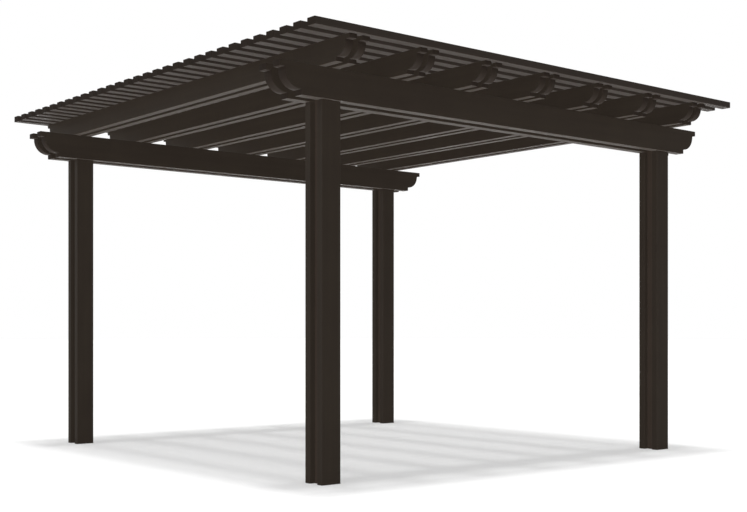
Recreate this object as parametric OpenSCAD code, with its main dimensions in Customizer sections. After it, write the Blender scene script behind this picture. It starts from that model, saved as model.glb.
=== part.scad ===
// Free-standing lattice pergola: four posts, two double headers along X,
// seven double rafters along Y and a top layer of square-tube slats along X.
// Millimetres. Origin at the middle of the ground plan, +Z up,
// +X along the headers, +Y along the rafters, away from the front header.

/* [Posts] */
// Distance between post centres along the headers
post_spacing_x = 3490; // [2800:10:3800]
// Distance between post centres along the rafters
post_spacing_y = 3536; // [2800:10:3800]
// Height of the clear space under the headers
headroom = 2492; // [2100:2:2800]
// Side of the square post core
core_size = 76; // [60:1:90]
// Width of a post side plate, along X
plate_width = 152; // [110:1:180]
// Thickness of a post side plate, along Y
plate_thickness = 53; // [30:1:70]

/* [Headers] */
// Height of a header beam
header_height = 204; // [160:1:240]
// Thickness of a header beam
header_thickness = 76; // [50:1:90]
// How far a header runs past the side of a post
header_overhang = 347; // [220:1:450]

/* [Rafters] */
// How far the outermost rafter centres stand outside the post centres
rafter_outset = 34; // [0:1:80]
// Height of a rafter plate
rafter_height = 152; // [120:1:180]
// Thickness of a rafter plate
rafter_thickness = 60; // [35:1:70]
// Gap between the two plates of a rafter
rafter_gap = 44; // [20:1:80]
// How far a rafter runs past the face of a post
rafter_overhang = 335; // [220:1:450]

/* [Slats] */
// Number of slats
slat_count = 31; // [24:1:34]
// Width of a slat, along Y
slat_width = 79; // [50:1:100]
// Height of a slat
slat_height = 48; // [30:1:60]
// How far a slat runs past the outermost rafter
slat_overhang = 297; // [100:1:400]
// How far the outermost slats stand beyond the rafter tips
slat_lead = 40; // [10:1:60]

/* [Beam ends] */
// Height of the square tab at the top of a header end
header_tab = 40; // [25:1:50]
// Height of the square foot at the bottom of a header end
header_foot = 36; // [20:1:45]
// Height of the square tab at the top of a rafter end
rafter_tab = 30; // [15:1:36]
// Height of the square foot at the bottom of a rafter end
rafter_foot = 27; // [15:1:36]
// Step in from the top tab to the quarter round
tab_step = 39; // [20:1:45]
// Straight drop above the quarter round
round_drop = 8; // [4:1:14]
// Step in from the quarter round to the foot
foot_step = 8; // [5:1:16]

/* [Walls] */
// Wall of the beams, plates and slats
tube_wall = 2; // [1.5:0.1:4]
// Wall of the post core, and the thickness of its foot
core_wall = 3; // [2:0.1:5]
// Inner corner radius of every tube
inner_corner = 1; // [0.5:0.1:4]
// Thickness of an end cap
cap_thickness = 3; // [2:0.5:5]

/* [Hidden] */
// Exact curves
$fn = 64;
// How far a cutter goes past the face it cuts through
past = 1;
tube_corner = inner_corner + tube_wall;
rafter_pairs = 7;
slat_groups = 8;
// The two beams of a header hold the post cores between them
header_offset = (core_size + header_thickness) / 2;
// The two side plates of a post lie against its core
plate_offset = (core_size + plate_thickness) / 2;
post_depth = core_size + 2 * plate_thickness;
header_length = post_spacing_x + plate_width + 2 * header_overhang;
rafter_length = post_spacing_y + post_depth + 2 * rafter_overhang;
rafter_offset = (rafter_gap + rafter_thickness) / 2;
rafter_pair_width = 2 * rafter_thickness + rafter_gap;
rafter_span = post_spacing_x + 2 * rafter_outset;
rafter_spacing = rafter_span / (rafter_pairs - 1);
slat_length = rafter_span + rafter_pair_width + 2 * slat_overhang;
slat_span = rafter_length + 2 * slat_lead - slat_width;
slat_pitch = slat_span / (slat_count - 1);
// Undersides of the rafters and of the slats
rafter_base = headroom + header_height;
slat_base = rafter_base + rafter_height;

bronze = [0.17, 0.15, 0.13];
bronze_light = [0.22, 0.19, 0.17];
bronze_dark = [0.12, 0.11, 0.10];

// Rectangle with round corners, centred on the origin
module rounded_section(width, height, radius) {
    square([width - 2 * radius, height], center = true);
    square([width, height - 2 * radius], center = true);
    for (x_side = [-1, 1], y_side = [-1, 1])
        translate([x_side * (width / 2 - radius), y_side * (height / 2 - radius)])
            circle(r = radius);
}

// Section of a tube with walls of one thickness
module tube_section(width, height, wall) {
    difference() {
        rounded_section(width, height, inner_corner + wall);
        rounded_section(width - 2 * wall, height - 2 * wall, inner_corner);
    }
}

// Runs a section along X. Its width lies along Y and its height along Z,
// and it stands on z = 0.
module along_x(length, height) {
    translate([0, 0, height / 2])
        rotate([90, 0, 90])
            linear_extrude(length, center = true)
                children();
}

// What is cut away below and outside of one beam end, at +X.
// inset moves every face of the end inwards by that much.
module corbel_cut(length, width, height, tab, foot, inset) {
    radius = height - tab - round_drop - foot;
    centre_x = length / 2 - tab_step - radius;
    centre_z = foot + radius;
    reach = length / 2 + past;
    deep = width + 2 * past;
    // Under the tab
    translate([centre_x + radius - inset, -deep / 2, -2 * past])
        cube([reach, deep, height - tab + inset + 2 * past]);
    // Outside the quarter round
    difference() {
        translate([centre_x, -deep / 2, -2 * past])
            cube([radius + past, deep, centre_z + 2 * past]);
        translate([centre_x, 0, centre_z])
            rotate([90, 0, 0])
                cylinder(h = deep + 2 * past, r = radius - inset, center = true);
    }
    // Outside the foot
    translate([centre_x - foot_step - inset, -deep / 2, -2 * past])
        cube([radius + foot_step + inset + past, deep, foot + inset + 2 * past]);
}

// Solid bar along X with both ends cut to the corbel shape.
// extra makes it wider and taller, for use as a cutter.
module corbel_bar(length, width, height, tab, foot, inset, extra) {
    difference() {
        translate([0, 0, -extra])
            along_x(length - 2 * inset, height + 2 * extra)
                rounded_section(width + 2 * extra, height + 2 * extra, tube_corner);
        for (side = [0, 1])
            mirror([side, 0, 0])
                corbel_cut(length, width + 2 * extra, height, tab, foot, inset);
    }
}

// Open tube with corbel ends, short of its end caps
module corbel_tube(length, width, height, tab, foot) {
    difference() {
        corbel_bar(length, width, height, tab, foot, cap_thickness, 0);
        translate([0, 0, tube_wall])
            along_x(length + past, height - 2 * tube_wall)
                rounded_section(width - 2 * tube_wall, height - 2 * tube_wall, inner_corner);
    }
}

// The two caps that close the ends of a corbel tube
module corbel_caps(length, width, height, tab, foot) {
    difference() {
        corbel_bar(length, width, height, tab, foot, 0, 0);
        corbel_bar(length, width, height, tab, foot, cap_thickness, past);
    }
}

// A square tube with a closed foot, up to the rafters
module post_core(x_side, y_side) {
    color(bronze_dark)
        translate([x_side * post_spacing_x / 2, y_side * post_spacing_y / 2, 0]) {
            linear_extrude(rafter_base)
                tube_section(core_size, core_size, core_wall);
            linear_extrude(core_wall)
                rounded_section(core_size, core_size, inner_corner + core_wall);
        }
}

// y_face is the side of the core that the plate lies against
module post_plate(x_side, y_side, y_face) {
    color(bronze)
        translate([
            x_side * post_spacing_x / 2,
            y_side * post_spacing_y / 2 + y_face * plate_offset,
            0
        ])
            linear_extrude(headroom)
                tube_section(plate_width, plate_thickness, tube_wall);
}

module header_beam(y_side, y_face) {
    color(bronze)
        translate([0, y_side * post_spacing_y / 2 + y_face * header_offset, headroom])
            corbel_tube(header_length, header_thickness, header_height, header_tab, header_foot);
}

module header_end_caps() {
    color(bronze_light)
        for (y_side = [-1, 1], y_face = [-1, 1])
            translate([0, y_side * post_spacing_y / 2 + y_face * header_offset, headroom])
                corbel_caps(header_length, header_thickness, header_height, header_tab, header_foot);
}

// Moves a bar along X to the place of a rafter plate along Y
module at_rafter(index, face) {
    translate([
        (index - (rafter_pairs - 1) / 2) * rafter_spacing + face * rafter_offset,
        0,
        rafter_base
    ])
        rotate([0, 0, 90])
            children();
}

module rafter_pair(index) {
    color(bronze)
        for (face = [-1, 1])
            at_rafter(index, face)
                corbel_tube(rafter_length, rafter_thickness, rafter_height, rafter_tab, rafter_foot);
}

// y_side picks the front caps (-1) or the back ones (1)
module rafter_end_caps(y_side) {
    color(bronze_light)
        for (index = [0 : rafter_pairs - 1], face = [-1, 1])
            at_rafter(index, face)
                intersection() {
                    corbel_caps(rafter_length, rafter_thickness, rafter_height, rafter_tab, rafter_foot);
                    translate([y_side * rafter_length / 2, 0, rafter_height / 2])
                        cube([rafter_length / 2, 2 * rafter_thickness, 2 * rafter_height], center = true);
                }
}

module at_slat(index) {
    translate([0, index * slat_pitch - slat_span / 2, slat_base])
        children();
}

module slat_group(group) {
    color(bronze)
        for (index = [0 : slat_count - 1])
            if (floor(index * slat_groups / slat_count) == group)
                at_slat(index)
                    along_x(slat_length - 2 * cap_thickness, slat_height)
                        tube_section(slat_width, slat_height, tube_wall);
}

module slat_end_caps(x_side) {
    color(bronze_light)
        for (index = [0 : slat_count - 1])
            at_slat(index)
                translate([x_side * (slat_length - cap_thickness) / 2, 0, 0])
                    along_x(cap_thickness, slat_height)
                        rounded_section(slat_width, slat_height, tube_corner);
}

post_core(-1, -1);  // post_core_front_left
post_core(1, -1);  // post_core_front_right
post_core(-1, 1);  // post_core_back_left
post_core(1, 1);  // post_core_back_right
post_plate(-1, -1, -1);  // post_plate_front_left_outer
post_plate(-1, -1, 1);  // post_plate_front_left_inner
post_plate(1, -1, -1);  // post_plate_front_right_outer
post_plate(1, -1, 1);  // post_plate_front_right_inner
post_plate(-1, 1, 1);  // post_plate_back_left_outer
post_plate(-1, 1, -1);  // post_plate_back_left_inner
post_plate(1, 1, 1);  // post_plate_back_right_outer
post_plate(1, 1, -1);  // post_plate_back_right_inner
header_beam(-1, -1);  // header_front_outer
header_beam(-1, 1);  // header_front_inner
header_beam(1, 1);  // header_back_outer
header_beam(1, -1);  // header_back_inner
rafter_pair(0);  // rafters_1
rafter_pair(1);  // rafters_2
rafter_pair(2);  // rafters_3
rafter_pair(3);  // rafters_4
rafter_pair(4);  // rafters_5
rafter_pair(5);  // rafters_6
rafter_pair(6);  // rafters_7
slat_group(0);  // slats_1
slat_group(1);  // slats_2
slat_group(2);  // slats_3
slat_group(3);  // slats_4
slat_group(4);  // slats_5
slat_group(5);  // slats_6
slat_group(6);  // slats_7
slat_group(7);  // slats_8
header_end_caps();
rafter_end_caps(-1);  // rafter_end_caps_front
rafter_end_caps(1);  // rafter_end_caps_back
slat_end_caps(-1);  // slat_end_caps_left
slat_end_caps(1);  // slat_end_caps_right
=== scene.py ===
"""Looks of a free-standing lattice pergola in dark bronze coated aluminium.

The tubes of the frame keep their own shapes and get their finishes here. The caps that
close the beam ends, the plugs in the slats and the slat screws are built here.
Lengths are in metres, Z is up, X runs along the headers and Y along the rafters.
"""

import logging
import math
from collections.abc import Iterable, Mapping, Sequence
from dataclasses import dataclass, field
from enum import Enum

import bmesh
import bpy
from mathutils import Matrix, Vector


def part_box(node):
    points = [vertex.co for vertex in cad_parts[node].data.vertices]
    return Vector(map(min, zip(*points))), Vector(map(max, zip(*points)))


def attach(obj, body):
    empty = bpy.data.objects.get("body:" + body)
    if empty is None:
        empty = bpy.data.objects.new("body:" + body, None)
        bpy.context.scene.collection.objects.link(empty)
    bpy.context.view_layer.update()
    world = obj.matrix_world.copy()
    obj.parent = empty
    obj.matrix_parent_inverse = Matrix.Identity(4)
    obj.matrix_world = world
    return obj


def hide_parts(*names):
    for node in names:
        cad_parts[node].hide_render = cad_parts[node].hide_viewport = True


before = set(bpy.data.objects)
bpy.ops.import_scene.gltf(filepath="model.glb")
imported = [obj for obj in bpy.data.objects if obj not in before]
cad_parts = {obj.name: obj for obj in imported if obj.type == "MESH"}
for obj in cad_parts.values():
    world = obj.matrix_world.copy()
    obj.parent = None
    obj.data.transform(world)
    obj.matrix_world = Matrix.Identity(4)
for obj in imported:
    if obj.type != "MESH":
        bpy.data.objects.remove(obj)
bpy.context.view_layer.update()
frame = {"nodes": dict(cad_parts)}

BODY = "root"
MM = 0.001
WELD = 0.01 * MM
SHARP = math.radians(35)
SMOOTH_BELOW = math.radians(32)
LOG = logging.getLogger("pergola")


# ---------------------------------------------------------------- nodes and colours


def linear(code: str) -> tuple[float, float, float, float]:
    """Turns an sRGB hex colour into the linear colour that a shader takes.

    Args:
        code: The colour, such as "#2e2925".

    Returns:
        Red, green, blue and an alpha of one.
    """
    parts = [int(code[start:start + 2], 16) / 255 for start in (1, 3, 5)]
    red, green, blue = (
        part / 12.92 if part <= 0.04045 else ((part + 0.055) / 1.055) ** 2.4
        for part in parts
    )
    return red, green, blue, 1.0


def per_metre(spacing_mm: float) -> float:
    """Returns the pattern scale that repeats once in every spacing_mm millimetres."""
    return 1.0 / (spacing_mm * MM)


def node(
    tree: bpy.types.NodeTree, kind: str, feeds: Mapping | None = None, **settings: object
) -> bpy.types.Node:
    """Adds one node with its settings, its values and its links.

    Args:
        tree: The node tree that takes it.
        kind: The node's type name.
        feeds: Input names or numbers, each with a value or with the socket that feeds it.
        **settings: Attributes of the node itself.

    Returns:
        The new node.
    """
    made = tree.nodes.new(kind)
    for name, value in settings.items():
        setattr(made, name, value)
    for name, value in (feeds or {}).items():
        if isinstance(value, bpy.types.NodeSocket):
            tree.links.new(value, made.inputs[name])
        else:
            made.inputs[name].default_value = value
    return made


class Run(Enum):
    """Which way a length of tube lies, and so which way its streaks run."""

    ALONG_X = (1, 0, 0)
    ALONG_Y = (0, 1, 0)
    ALONG_Z = (0, 0, 1)

    def scale(self, long_mm: float, wide_mm: float) -> tuple[float, ...]:
        """Returns the mapping scale of a streak long_mm by wide_mm that lies this way."""
        return tuple(per_metre(long_mm if lies else wide_mm) for lies in self.value)


# ---------------------------------------------------------------- finishes


@dataclass(frozen=True)
class Coat:
    """A pigmented coat and how it has worn.

    Fields that end in _mm are in millimetres, and colours are sRGB hex codes. A field that
    ends in _span holds the two readings of a noise or an angle that it fades between.
    """

    name: str
    deep: str
    light: str
    bare: str
    rough: float
    rough_swing: float
    specular: float
    peel_mm: float
    peel_depth_mm: float
    line_share: float = 0.0
    line_long_mm: float = 2400.0
    line_wide_mm: float = 3.5
    cloud_mm: float = 320.0
    streak_long_mm: float = 900.0
    streak_wide_mm: float = 45.0
    edge_mm: float = 2.2
    scuff_mm: float = 22.0
    worn: float = 0.35
    dust: float = 0.10
    dust_tone: str = "#6a6259"
    dust_least: float = 0.45
    dust_patch_mm: float = 90.0
    dust_dulls: float = 0.60
    rub_polishes: float = 0.25
    bump: float = 0.60
    cloud_share: float = 0.45
    tone_span: tuple[float, float] = (0.34, 0.66)
    gloss_span: tuple[float, float] = (0.30, 0.70)
    scuff_span: tuple[float, float] = (0.42, 0.66)
    dust_span: tuple[float, float] = (0.30, 0.72)
    arris_span: tuple[float, float] = (0.985, 0.80)
    level_span: tuple[float, float] = (0.55, 0.95)

    def material(self, run: Run) -> bpy.types.Material:
        """Builds the material for tubes that lie one way.

        Args:
            run: Which way they lie.

        Returns:
            The material.
        """
        made = bpy.data.materials.new(f"{self.name}_{run.name.lower()}")
        made.use_nodes = True
        tree = made.node_tree
        shader = tree.nodes["Principled BSDF"]
        place = node(tree, "ShaderNodeTexCoord").outputs["Object"]
        cloud = node(
            tree, "ShaderNodeTexNoise",
            {"Vector": place, "Scale": per_metre(self.cloud_mm), "Detail": 3.0},
        ).outputs[0]
        tone = self._tone(tree, place, cloud, run)
        edge = self._edge(tree, place)
        settled = self._dust(tree, place)
        worn = node(
            tree, "ShaderNodeMix", {0: edge, 6: tone, 7: linear(self.bare)},
            data_type="RGBA",
        ).outputs[2]
        colour = node(
            tree, "ShaderNodeMix", {0: settled, 6: worn, 7: linear(self.dust_tone)},
            data_type="RGBA",
        ).outputs[2]
        tree.links.new(colour, shader.inputs["Base Color"])
        rough = self._roughness(tree, place, cloud, edge, settled)
        tree.links.new(rough, shader.inputs["Roughness"])
        tree.links.new(self._relief(tree, place, run), shader.inputs["Normal"])
        shader.inputs["Specular IOR Level"].default_value = self.specular
        return made

    def _tone(
        self, tree: bpy.types.NodeTree, place: bpy.types.NodeSocket,
        cloud: bpy.types.NodeSocket, run: Run,
    ) -> bpy.types.NodeSocket:
        """Mixes the coat's two tones in soft clouds and in faint streaks along the tube.

        Args:
            tree: The material's nodes.
            place: Object coordinates.
            cloud: The slow noise that the clouds follow.
            run: Which way the tube lies.

        Returns:
            The colour of the coat.
        """
        lay = node(
            tree, "ShaderNodeMapping",
            {"Vector": place, "Scale": run.scale(self.streak_long_mm, self.streak_wide_mm)},
        ).outputs[0]
        streak = node(
            tree, "ShaderNodeTexNoise", {"Vector": lay, "Scale": 1.0, "Detail": 4.0}
        ).outputs[0]
        clouds = node(
            tree, "ShaderNodeMath", {0: cloud, 1: self.cloud_share}, operation="MULTIPLY"
        ).outputs[0]
        blend = node(
            tree, "ShaderNodeMath", {0: streak, 1: 1.0 - self.cloud_share, 2: clouds},
            operation="MULTIPLY_ADD",
        ).outputs[0]
        low, high = self.tone_span
        share = node(
            tree, "ShaderNodeMapRange", {"Value": blend, "From Min": low, "From Max": high}
        ).outputs[0]
        return node(
            tree, "ShaderNodeMix", {0: share, 6: linear(self.deep), 7: linear(self.light)},
            data_type="RGBA",
        ).outputs[2]

    def _edge(
        self, tree: bpy.types.NodeTree, place: bpy.types.NodeSocket
    ) -> bpy.types.NodeSocket:
        """Finds the arrises, and the scuffed stretches of them.

        Args:
            tree: The material's nodes.
            place: Object coordinates.

        Returns:
            How worn the coat is, from 0 to the coat's own worn value.
        """
        rounded = node(
            tree, "ShaderNodeBevel", {"Radius": self.edge_mm * MM}, samples=4
        ).outputs[0]
        facing = node(tree, "ShaderNodeNewGeometry").outputs["Normal"]
        match = node(
            tree, "ShaderNodeVectorMath", {0: rounded, 1: facing}, operation="DOT_PRODUCT"
        ).outputs["Value"]
        flat, turned = self.arris_span
        arris = node(
            tree, "ShaderNodeMapRange",
            {"Value": match, "From Min": flat, "From Max": turned},
        ).outputs[0]
        scuff = node(
            tree, "ShaderNodeTexNoise",
            {"Vector": place, "Scale": per_metre(self.scuff_mm), "Detail": 4.0},
        ).outputs[0]
        low, high = self.scuff_span
        rubbed = node(
            tree, "ShaderNodeMapRange",
            {"Value": scuff, "From Min": low, "From Max": high, "To Max": self.worn},
        ).outputs[0]
        return node(
            tree, "ShaderNodeMath", {0: arris, 1: rubbed}, operation="MULTIPLY"
        ).outputs[0]

    def _dust(
        self, tree: bpy.types.NodeTree, place: bpy.types.NodeSocket
    ) -> bpy.types.NodeSocket:
        """Lays thin dust where a face looks up.

        Args:
            tree: The material's nodes.
            place: Object coordinates.

        Returns:
            How much dust covers the coat, from 0 to the coat's own dust value.
        """
        facing = node(tree, "ShaderNodeNewGeometry").outputs["Normal"]
        up = node(tree, "ShaderNodeSeparateXYZ", {0: facing}).outputs["Z"]
        steep, flat = self.level_span
        level = node(
            tree, "ShaderNodeMapRange", {"Value": up, "From Min": steep, "From Max": flat}
        ).outputs[0]
        drift = node(
            tree, "ShaderNodeTexNoise",
            {
                "Vector": place, "Scale": per_metre(self.dust_patch_mm),
                "Detail": 6.0, "Roughness": 0.62,
            },
        ).outputs[0]
        low, high = self.dust_span
        lying = node(
            tree, "ShaderNodeMapRange",
            {
                "Value": drift, "From Min": low, "From Max": high,
                "To Min": self.dust_least * self.dust, "To Max": self.dust,
            },
        ).outputs[0]
        return node(
            tree, "ShaderNodeMath", {0: level, 1: lying}, operation="MULTIPLY"
        ).outputs[0]

    def _roughness(
        self, tree: bpy.types.NodeTree, place: bpy.types.NodeSocket,
        cloud: bpy.types.NodeSocket, edge: bpy.types.NodeSocket,
        settled: bpy.types.NodeSocket,
    ) -> bpy.types.NodeSocket:
        """Varies the gloss: cloudy and speckled, polished on rubbed arrises, dull in dust.

        Args:
            tree: The material's nodes.
            place: Object coordinates.
            cloud: The slow noise.
            edge: How worn the coat is.
            settled: How dusty it is.

        Returns:
            The roughness.
        """
        low, high = self.gloss_span
        swing = node(
            tree, "ShaderNodeMapRange",
            {
                "Value": cloud, "From Min": low, "From Max": high,
                "To Min": self.rough - 2 * self.rough_swing, "To Max": self.rough,
            },
        ).outputs[0]
        fleck = node(
            tree, "ShaderNodeTexNoise",
            {"Vector": place, "Scale": per_metre(self.peel_mm * 1.7), "Detail": 3.0},
        ).outputs[0]
        flecked = node(
            tree, "ShaderNodeMath", {0: fleck, 1: self.rough_swing * 2, 2: swing},
            operation="MULTIPLY_ADD",
        ).outputs[0]
        polished = node(
            tree, "ShaderNodeMath", {0: edge, 1: -self.rub_polishes, 2: flecked},
            operation="MULTIPLY_ADD",
        ).outputs[0]
        return node(
            tree, "ShaderNodeMath", {0: settled, 1: self.dust_dulls, 2: polished},
            operation="MULTIPLY_ADD",
        ).outputs[0]

    def _relief(
        self, tree: bpy.types.NodeTree, place: bpy.types.NodeSocket, run: Run
    ) -> bpy.types.NodeSocket:
        """Raises the coat's grain and the lines drawn along the tube, over soft arrises.

        Args:
            tree: The material's nodes.
            place: Object coordinates.
            run: Which way the tube lies.

        Returns:
            The bumped normal.
        """
        soft = node(
            tree, "ShaderNodeBevel", {"Radius": self.edge_mm * 0.5 * MM}, samples=4
        ).outputs[0]
        peel = node(
            tree, "ShaderNodeTexNoise",
            {"Vector": place, "Scale": per_metre(self.peel_mm), "Detail": 1.5},
        ).outputs[0]
        lay = node(
            tree, "ShaderNodeMapping",
            {"Vector": place, "Scale": run.scale(self.line_long_mm, self.line_wide_mm)},
        ).outputs[0]
        lines = node(
            tree, "ShaderNodeTexNoise", {"Vector": lay, "Scale": 1.0, "Detail": 2.0}
        ).outputs[0]
        height = node(
            tree, "ShaderNodeMix", {0: self.line_share, 2: peel, 3: lines},
            data_type="FLOAT",
        ).outputs[0]
        return node(
            tree, "ShaderNodeBump",
            {
                "Strength": self.bump, "Distance": self.peel_depth_mm * MM,
                "Height": height, "Normal": soft,
            },
        ).outputs[0]


# Polyester powder coat baked on extruded aluminium: a satin dark bronze with a faint orange
# peel over the lines that the die drew, slightly cloudy, and paler where arrises are rubbed.
# The real peel is about 1.5 mm apart. It is drawn at 4 mm so that it shows.
BEAM_COAT = Coat(
    name="bronze_powder_coat_on_aluminium", deep="#29231e", light="#2d2721", bare="#544c44",
    rough=0.46, rough_swing=0.05, specular=0.08, peel_mm=4.0, peel_depth_mm=0.35,
    line_share=0.45, dust=0.12,
)
# The same coat on thin lattice tube from another batch: a touch greyer and glossier, with
# longer and wider streaks.
SLAT_COAT = Coat(
    name="bronze_powder_coat_on_lattice_tube", deep="#28231f", light="#2c2622", bare="#4c453e",
    rough=0.44, rough_swing=0.05, specular=0.10, peel_mm=4.0, peel_depth_mm=0.35,
    line_share=0.55, streak_long_mm=1400.0, streak_wide_mm=60.0, dust=0.12,
)
# Brushed enamel on galvanised steel tube: duller, with brush marks 4 mm apart up the post.
# Its colour holds painted light: it is a shade paler than the plates to offset the shade
# between them, where alone it is seen.
CORE_PAINT_LIGHTENED_FOR_SHADE = Coat(
    name="bronze_enamel_on_steel", deep="#322a24", light="#372f29", bare="#5c554d",
    rough=0.52, rough_swing=0.06, specular=0.08, peel_mm=3.0, peel_depth_mm=0.45,
    line_share=0.75, line_long_mm=260.0, line_wide_mm=4.0, streak_long_mm=300.0,
    streak_wide_mm=8.0, worn=0.45, dust=0.12,
)
# Injection-moulded acrylic-styrene plastic coloured right through: even in tone, with the
# fine sparked grain of the mould, and almost matt. The grain is drawn at 1.2 mm.
CAP_PLASTIC = Coat(
    name="bronze_moulded_cap_plastic", deep="#221c18", light="#251f1a", bare="#3a342e",
    rough=0.55, rough_swing=0.03, specular=0.06, peel_mm=1.2, peel_depth_mm=0.10,
    cloud_mm=140.0, streak_long_mm=260.0, streak_wide_mm=110.0, edge_mm=1.2, worn=0.25,
)
# Enamelled zinc-plated steel screw head: the paint is thin and bright zinc shows on the
# corners that the driver has turned on.
SCREW_ENAMEL = Coat(
    name="bronze_enamel_on_zinc_screw", deep="#2d2824", light="#3a342e", bare="#a09c95",
    rough=0.40, rough_swing=0.06, specular=0.20, peel_mm=0.8, peel_depth_mm=0.03,
    cloud_mm=60.0, streak_long_mm=40.0, streak_wide_mm=25.0, edge_mm=0.8, scuff_mm=9.0,
    worn=0.85,
)


# ---------------------------------------------------------------- mesh helpers


def arrises(
    shape: bmesh.types.BMesh, sharper_than: float = SHARP
) -> list[bmesh.types.BMEdge]:
    """Lists the sharp edges of a shape.

    Args:
        shape: The shape.
        sharper_than: The least angle between the two faces of an edge, in radians.

    Returns:
        The edges.
    """
    return [
        edge for edge in shape.edges
        if len(edge.link_faces) == 2 and edge.calc_face_angle(0.0) > sharper_than
    ]


def round_over(
    shape: bmesh.types.BMesh, edges: Sequence[bmesh.types.BMEdge], radius: float, steps: int
) -> None:
    """Rounds edges to a radius.

    Args:
        shape: The shape that holds them.
        edges: The edges.
        radius: The radius, in metres.
        steps: How many flats make the round.
    """
    bmesh.ops.bevel(
        shape, geom=list(edges), offset=radius, offset_type="OFFSET", segments=steps,
        profile=0.5, affect="EDGES", material=-1,
    )


def finished_mesh(shape: bmesh.types.BMesh, name: str) -> bpy.types.Mesh:
    """Closes a shape into a mesh with its faces outwards and smooth rounds, and frees it.

    Args:
        shape: The shape.
        name: The mesh's name.

    Returns:
        The mesh.
    """
    bmesh.ops.remove_doubles(shape, verts=shape.verts[:], dist=WELD)
    bmesh.ops.recalc_face_normals(shape, faces=shape.faces[:])
    made = bpy.data.meshes.new(name)
    shape.to_mesh(made)
    shape.free()
    made.shade_smooth()
    made.set_sharp_from_angle(angle=SMOOTH_BELOW)
    return made


def set_out(
    name: str, pattern: bpy.types.Mesh, places: Iterable[Matrix], coat: bpy.types.Material,
    stands_for: Sequence[str] = (),
) -> bpy.types.Object:
    """Sets copies of one pattern out in their places as one piece of the object.

    Args:
        name: The piece's name.
        pattern: The mesh that is copied.
        places: Where each copy goes. None of them mirrors it.
        coat: The piece's material.
        stands_for: The nodes that the piece replaces.

    Returns:
        The piece.
    """
    whole = bmesh.new()
    count = 0
    for place in places:
        before = len(whole.verts)
        whole.from_mesh(pattern)
        whole.verts.ensure_lookup_table()
        bmesh.ops.transform(whole, matrix=place, verts=whole.verts[before:])
        count += 1
    made = bpy.data.meshes.new(name)
    whole.to_mesh(made)
    whole.free()
    made.materials.append(coat)
    made.set_sharp_from_angle(angle=SMOOTH_BELOW)
    piece = bpy.data.objects.new(name, made)
    bpy.context.scene.collection.objects.link(piece)
    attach(piece, BODY)
    if stands_for:
        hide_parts(*stands_for)
    LOG.info("%s: %d of them, %d faces", name, count, len(made.polygons))
    return piece


def at(x: float, y: float, z: float, turn: float = 0.0) -> Matrix:
    """Returns the place at x, y, z, turned about the vertical by turn degrees."""
    return Matrix.Translation((x, y, z)) @ Matrix.Rotation(math.radians(turn), 4, "Z")


# ---------------------------------------------------------------- the frame's tubes


@dataclass
class FrameTubes:
    """The cores, plates, beams and slats, which keep their shapes and get their finishes."""

    nodes: dict = field(default_factory=lambda: frame["nodes"])

    def dress(self) -> None:
        """Gives every tube the coat that its kind has, with its streaks along it."""
        header_coat = BEAM_COAT.material(Run.ALONG_X)
        coats = {
            # The cores' coat holds painted light: it is paler than the plates' coat to offset
            # the shade it stands in.
            "post_core_": CORE_PAINT_LIGHTENED_FOR_SHADE.material(Run.ALONG_Z),
            "post_plate_": BEAM_COAT.material(Run.ALONG_Z),
            "header_front_": header_coat,
            "header_back_": header_coat,
            "rafters_": BEAM_COAT.material(Run.ALONG_Y),
            "slats_": SLAT_COAT.material(Run.ALONG_X),
        }
        for start, coat in coats.items():
            group = [part for name, part in self.nodes.items() if name.startswith(start)]
            for part in group:
                for place in part.material_slots:
                    place.material = coat
            LOG.info("%s*: %d nodes in %s", start, len(group), coat.name)


# ---------------------------------------------------------------- beam ends


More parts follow.
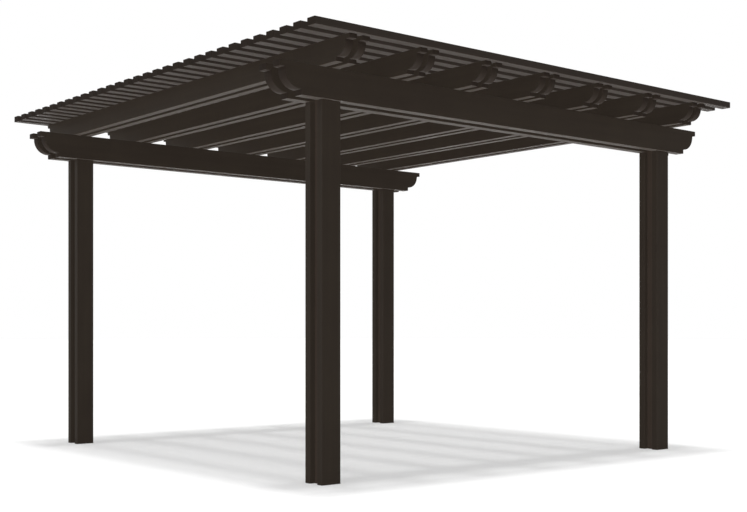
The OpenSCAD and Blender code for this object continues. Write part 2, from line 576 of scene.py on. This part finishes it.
@dataclass
class StepEndCap:
    """The cap that closes a stepped beam end: a square tab, a quarter round and a foot."""

    width: float
    height: float
    tab: float
    foot: float
    tab_step: float = 0.039
    round_drop: float = 0.008
    foot_step: float = 0.008
    thickness: float = 0.003
    corner: float = 0.003
    corner_steps: int = 3
    arris: float = 0.0009
    arris_steps: int = 2
    arc_steps: int = 14

    @property
    def radius(self) -> float:
        """Radius of the quarter round."""
        return self.height - self.tab - self.round_drop - self.foot

    def _step(
        self, shape: bmesh.types.BMesh, tip: bmesh.types.BMVert,
        move: tuple[float, float, float],
    ) -> bmesh.types.BMVert:
        """Draws the outline on from its tip.

        Args:
            shape: The shape that holds the outline.
            tip: Its last point.
            move: How far the next point is from there.

        Returns:
            The new last point.
        """
        new = bmesh.ops.extrude_vert_indiv(shape, verts=[tip])["verts"][0]
        bmesh.ops.translate(shape, verts=[new], vec=move)
        return new

    def _outline(self, shape: bmesh.types.BMesh) -> None:
        """Draws the outline of the end from its top to its bottom, at one side of the cap."""
        tip = bmesh.ops.create_vert(shape, co=(0.0, -self.width / 2, self.height))["vert"][0]
        tip = self._step(shape, tip, (0.0, 0.0, -self.tab))
        tip = self._step(shape, tip, (-self.tab_step, 0.0, 0.0))
        tip = self._step(shape, tip, (0.0, 0.0, -self.round_drop))
        centre = tip.co - Vector((self.radius, 0.0, 0.0))
        turned = bmesh.ops.spin(
            shape, geom=[tip], cent=centre, axis=(0.0, 1.0, 0.0), dvec=(0.0, 0.0, 0.0),
            angle=math.pi / 2, steps=self.arc_steps,
        )
        tip = next(
            part for part in turned["geom_last"] if isinstance(part, bmesh.types.BMVert)
        )
        tip = self._step(shape, tip, (-self.foot_step, 0.0, 0.0))
        self._step(shape, tip, (0.0, 0.0, -self.foot))

    def pattern(self, name: str) -> bpy.types.Mesh:
        """Builds the cap with its front at x = 0 and its bottom at z = 0.

        Args:
            name: The mesh's name.

        Returns:
            The mesh.
        """
        shape = bmesh.new()
        self._outline(shape)
        drawn = bmesh.ops.extrude_edge_only(shape, edges=shape.edges[:])["geom"]
        far = [part for part in drawn if isinstance(part, bmesh.types.BMVert)]
        bmesh.ops.translate(shape, verts=far, vec=(0.0, self.width, 0.0))
        bmesh.ops.recalc_face_normals(shape, faces=shape.faces[:])
        front = max(shape.faces, key=lambda face: face.calc_center_median().x)
        if front.normal.x < 0:
            bmesh.ops.reverse_faces(shape, faces=shape.faces[:])
        bmesh.ops.solidify(shape, geom=shape.faces[:], thickness=self.thickness)
        # The four corners that lie on the tube's own rounded corners, two above, two below.
        corners = [
            edge for edge in shape.edges
            if abs(abs(edge.verts[0].co.y) - self.width / 2) < self.arris
            and all(
                min(abs(vert.co.z), abs(vert.co.z - self.height)) < self.arris
                for vert in edge.verts
            )
            and abs(edge.verts[0].co.y - edge.verts[1].co.y) < self.arris
        ]
        round_over(shape, corners, self.corner, self.corner_steps)
        round_over(shape, arrises(shape), self.arris, self.arris_steps)
        return finished_mesh(shape, name)


@dataclass
class HeaderCaps:
    """The eight caps on the ends of the four header beams."""

    beams: tuple[str, ...] = (
        "header_front_outer", "header_front_inner", "header_back_outer", "header_back_inner",
    )
    old: str = "header_end_caps"
    tab: float = 0.040
    foot: float = 0.036

    def build(self, coat: bpy.types.Material) -> None:
        """Builds the caps in their places.

        Args:
            coat: Their material.
        """
        low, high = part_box(self.old)
        places = []
        for beam in self.beams:
            start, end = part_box(beam)
            middle = (start.y + end.y) / 2
            places += [at(high.x, middle, start.z), at(low.x, middle, start.z, 180)]
        # The beams are alike, so the last one gives the size of every cap.
        size = end - start
        cap = StepEndCap(width=size.y, height=size.z, tab=self.tab, foot=self.foot)
        set_out(
            "header_cap_mouldings", cap.pattern("header_cap"), places, coat,
            [self.old],
        )


@dataclass
class RafterCaps:
    """The caps on both ends of the two plates of every rafter."""

    rafters: int = 7
    plate: float = 0.060
    tab: float = 0.030
    foot: float = 0.027

    def centres(self) -> list[float]:
        """Returns the X of the middle of every rafter plate."""
        boxes = [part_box(f"rafters_{index}") for index in range(1, self.rafters + 1)]
        half = self.plate / 2
        return [x for low, high in boxes for x in (low.x + half, high.x - half)]

    def build(self, coat: bpy.types.Material) -> None:
        """Builds the front caps and the back caps in their places.

        Args:
            coat: Their material.
        """
        low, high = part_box("rafters_1")
        cap = StepEndCap(
            width=self.plate, height=high.z - low.z, tab=self.tab, foot=self.foot
        )
        mesh = cap.pattern("rafter_cap")
        for side, turn in (("front", -90), ("back", 90)):
            old = f"rafter_end_caps_{side}"
            first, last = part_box(old)
            reach = first.y if side == "front" else last.y
            places = [at(x, reach, low.z, turn) for x in self.centres()]
            set_out(
                f"rafter_cap_mouldings_{side}", mesh, places, coat, [old]
            )


# ---------------------------------------------------------------- slats


@dataclass
class SlatRow:
    """The top layer: the plugs in the ends of its slats and the screws that hold them."""

    count: int = 31
    width: float = 0.079
    plug: float = 0.003
    corner: float = 0.003
    arris: float = 0.0008
    round_steps: int = 2
    rim_angle: float = math.radians(80)
    panel_inset: float = 0.007
    panel_depth: float = 0.0005
    washer_radius: float = 0.0068
    washer_height: float = 0.0012
    washer_sides: int = 12
    hex_radius: float = 0.0046
    hex_height: float = 0.0030
    hex_rim: float = 0.0009
    dish_slope: float = 0.0005
    dish_depth: float = 0.0005
    turn_per_slat: int = 37
    turn_per_plate: int = 23
    hex_repeat: int = 60

    def centres(self) -> list[float]:
        """Returns the Y of the middle of every slat."""
        low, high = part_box("slat_end_caps_left")
        pitch = (high.y - low.y - self.width) / (self.count - 1)
        return [low.y + self.width / 2 + index * pitch for index in range(self.count)]

    def _plug_pattern(self, height: float) -> bpy.types.Mesh:
        """Builds an end plug with its front at x = 0 and its bottom at z = 0.

        Args:
            height: The slat's height.

        Returns:
            The mesh.
        """
        shape = bmesh.new()
        bmesh.ops.create_cube(shape, size=1.0)
        bmesh.ops.translate(shape, verts=shape.verts[:], vec=(-0.5, 0.0, 0.5))
        bmesh.ops.scale(shape, verts=shape.verts[:], vec=(self.plug, self.width, height))
        along = [
            edge for edge in shape.edges if edge.verts[0].co.x != edge.verts[1].co.x
        ]
        front = max(shape.faces, key=lambda face: face.calc_center_median().x)
        for thickness, depth in (
            (self.panel_inset, 0.0), (self.panel_depth, -self.panel_depth),
        ):
            bmesh.ops.inset_region(
                shape, faces=[front], thickness=thickness, depth=depth, use_even_offset=True
            )
        round_over(shape, along, self.corner, self.round_steps)
        rim = [
            edge for edge in arrises(shape, self.rim_angle)
            if all(vert.co.x > -self.panel_depth for vert in edge.verts)
        ]
        round_over(shape, rim, self.arris, self.round_steps)
        return finished_mesh(shape, "slat_plug")

    def _screw_pattern(self) -> bpy.types.Mesh:
        """Builds a hex head on its washer, standing on z = 0."""
        shape = bmesh.new()
        bmesh.ops.create_cone(
            shape, cap_ends=True, segments=self.washer_sides, radius1=self.washer_radius,
            radius2=self.washer_radius - self.washer_height / 2, depth=self.washer_height,
            matrix=Matrix.Translation((0.0, 0.0, self.washer_height / 2)),
        )
        sunk = self.washer_height / 2
        tall = self.hex_height + sunk
        head = bmesh.ops.create_cone(
            shape, cap_ends=True, segments=6, radius1=self.hex_radius,
            radius2=self.hex_radius, depth=tall,
            matrix=Matrix.Translation((0.0, 0.0, sunk + tall / 2)),
        )["verts"]
        top = [
            face for face in shape.faces
            if face.normal.z > 0.9 and face.verts[0] in head
        ]
        for thickness, depth in ((self.hex_rim, 0.0), (self.dish_slope, -self.dish_depth)):
            bmesh.ops.inset_region(
                shape, faces=top, thickness=thickness, depth=depth, use_even_offset=True
            )
        return finished_mesh(shape, "slat_screw")

    def build_plugs(self, coat: bpy.types.Material) -> None:
        """Builds the plugs in both ends of every slat.

        Args:
            coat: Their material.
        """
        for side, turn in (("left", 180), ("right", 0)):
            old = f"slat_end_caps_{side}"
            low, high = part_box(old)
            face = low.x if side == "left" else high.x
            mesh = self._plug_pattern(high.z - low.z)
            places = [at(face, y, low.z, turn) for y in self.centres()]
            set_out(f"slat_plugs_{side}", mesh, places, coat, [old])

    def build_screws(self, coat: bpy.types.Material, plates: Sequence[float]) -> None:
        """Builds a screw where each slat crosses a rafter plate, each head turned anew.

        Args:
            coat: Their material.
            plates: The X of the middle of every rafter plate.
        """
        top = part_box("slats_1")[1].z
        places = [
            at(
                x, y, top,
                (self.turn_per_slat * row + self.turn_per_plate * column) % self.hex_repeat,
            )
            for row, y in enumerate(self.centres())
            for column, x in enumerate(plates)
        ]
        set_out("slat_screws", self._screw_pattern(), places, coat)


# ---------------------------------------------------------------- studio


@dataclass
class Eye:
    """The camera: level, with a raised frame, so that uprights stay upright."""

    place: tuple[float, float, float] = (-6.4324, -7.9497, 1.0188)
    bearing: float = -39.6187
    lens: float = 57.14
    sensor: float = 36.0
    rise: float = 0.0957
    sees_to: float = 400.0

    def set_up(self) -> None:
        """Makes the camera and gives it to the scene."""
        data = bpy.data.cameras.new("eye")
        data.lens = self.lens
        data.sensor_width = self.sensor
        data.shift_y = self.rise
        data.clip_end = self.sees_to
        made = bpy.data.objects.new("eye", data)
        made.location = self.place
        made.rotation_euler = (math.pi / 2, 0.0, math.radians(self.bearing))
        bpy.context.scene.collection.objects.link(made)
        bpy.context.scene.camera = made


@dataclass(frozen=True)
class Lamp:
    """A distant soft lamp.

    Its strength is what a face that looks straight at it receives, its spread is in degrees,
    and its source is the way to it.
    """

    name: str
    strength: float
    spread: float
    source: tuple[float, float, float]
    shadows: bool = False

    def hang(self) -> None:
        """Hangs the lamp, so that its light comes from its source."""
        data = bpy.data.lights.new(self.name, "SUN")
        data.energy = self.strength
        data.angle = math.radians(self.spread)
        data.use_shadow = self.shadows
        made = bpy.data.objects.new(self.name, data)
        made.rotation_euler = Vector(self.source).to_track_quat("Z", "Y").to_euler()
        bpy.context.scene.collection.objects.link(made)


@dataclass
class Studio:
    """A white room with a pale floor, lights overhead and soft shadowless fills.

    The room and the floor are dimmed in diffuse light and in reflections, so that open and
    closed-in faces come out alike. The floor glows a little where it is seen, so that it is
    white but for the shadow.
    """

    fill: float = 0.10
    gloss: float = 0.15
    lamps: tuple[Lamp, ...] = (
        Lamp("overhead", 1.6, 4.5, (0.0, 0.0, 1.0), shadows=True),
        Lamp("canopy", 1.5, 30.0, (0.0, 0.0, 1.0), shadows=True),
        Lamp("front_fill", 3.35, 70.0, (-0.72, -0.69, 0.0)),
        Lamp("side_fill", 0.30, 60.0, (-0.64, 0.77, 0.0)),
        Lamp("back_fill", 4.8, 36.0, (0.62, 0.76, -0.16)),
        Lamp("floor_fill", 6.3, 60.0, (0.0, 0.0, -1.0)),
    )
    floor_tone: float = 0.59
    floor_glow: float = 0.37
    bounce: float = 0.45
    floor_reach: float = 90.0
    floor_sides: int = 96
    floor_drop: float = 0.0006

    def _shown(self, tree: bpy.types.NodeTree) -> bpy.types.NodeSocket:
        """Marks the rays that show the surroundings.

        Args:
            tree: The node tree that asks.

        Returns:
            1 for what the eye sees, the studio's gloss for reflections, and 0 for the rest.
        """
        path = node(tree, "ShaderNodeLightPath").outputs
        glossy = node(
            tree, "ShaderNodeMath", {0: path["Is Glossy Ray"], 1: self.gloss},
            operation="MULTIPLY",
        ).outputs[0]
        seen = node(
            tree, "ShaderNodeMath", {0: path["Is Camera Ray"], 1: glossy},
            operation="MAXIMUM",
        ).outputs[0]
        return node(
            tree, "ShaderNodeMath", {0: seen, 1: path["Is Transmission Ray"]},
            operation="MAXIMUM",
        ).outputs[0]

    def _surroundings(self) -> None:
        """Makes the room: white where it is seen, dimmer for reflections and as a fill."""
        world = bpy.data.worlds.new("white_room")
        world.use_nodes = True
        tree = world.node_tree
        back = tree.nodes["Background"]
        back.inputs["Color"].default_value = (1.0, 1.0, 1.0, 1.0)
        strength = node(
            tree, "ShaderNodeMapRange",
            {"Value": self._shown(tree), "To Min": self.fill, "To Max": 1.0},
        ).outputs[0]
        tree.links.new(strength, back.inputs["Strength"])
        bpy.context.scene.world = world

    def _floor(self) -> None:
        """Lays the pale floor, which is white but for the shadow."""
        shape = bmesh.new()
        bmesh.ops.create_circle(
            shape, cap_ends=True, segments=self.floor_sides, radius=self.floor_reach,
            matrix=Matrix.Translation((0.0, 0.0, -self.floor_drop)),
        )
        mesh = bpy.data.meshes.new("floor")
        shape.to_mesh(mesh)
        shape.free()
        # Matt pale paint that shows the soft striped shadow and nothing of its own.
        paint = bpy.data.materials.new("pale_floor")
        paint.use_nodes = True
        tree = paint.node_tree
        tree.nodes.clear()
        tone = (self.floor_tone, self.floor_tone, self.floor_tone, 1.0)
        dim = tuple(part * self.bounce for part in tone[:3]) + (1.0,)
        path = node(tree, "ShaderNodeLightPath").outputs
        bounced = node(
            tree, "ShaderNodeMath", {0: path["Is Diffuse Ray"], 1: path["Is Glossy Ray"]},
            operation="MAXIMUM",
        ).outputs[0]
        mixed = node(
            tree, "ShaderNodeMix", {0: bounced, 6: tone, 7: dim}, data_type="RGBA"
        ).outputs[2]
        matt = node(tree, "ShaderNodeBsdfDiffuse", {"Color": mixed}).outputs[0]
        glow = node(
            tree, "ShaderNodeMath", {0: self._shown(tree), 1: self.floor_glow},
            operation="MULTIPLY",
        ).outputs[0]
        lit = node(tree, "ShaderNodeEmission", {"Strength": glow}).outputs[0]
        both = node(tree, "ShaderNodeAddShader", {0: matt, 1: lit}).outputs[0]
        node(tree, "ShaderNodeOutputMaterial", {"Surface": both})
        mesh.materials.append(paint)
        floor = bpy.data.objects.new("floor", mesh)
        bpy.context.scene.collection.objects.link(floor)

    def set_up(self) -> None:
        """Makes the room, the lamps and the floor."""
        self._surroundings()
        for lamp in self.lamps:
            lamp.hang()
        self._floor()
        bpy.context.scene.view_settings.view_transform = "Standard"


def main() -> None:
    """Builds the pergola's pieces in order."""
    logging.basicConfig(level=logging.INFO, format="%(name)s: %(message)s")
    Eye().set_up()
    Studio().set_up()
    FrameTubes().dress()
    caps_x = CAP_PLASTIC.material(Run.ALONG_X)
    caps_y = CAP_PLASTIC.material(Run.ALONG_Y)
    HeaderCaps().build(caps_x)
    rafter_caps = RafterCaps()
    rafter_caps.build(caps_y)
    slats = SlatRow()
    slats.build_plugs(caps_x)
    slats.build_screws(SCREW_ENAMEL.material(Run.ALONG_X), rafter_caps.centres())


if __name__ == "__main__":
    main()
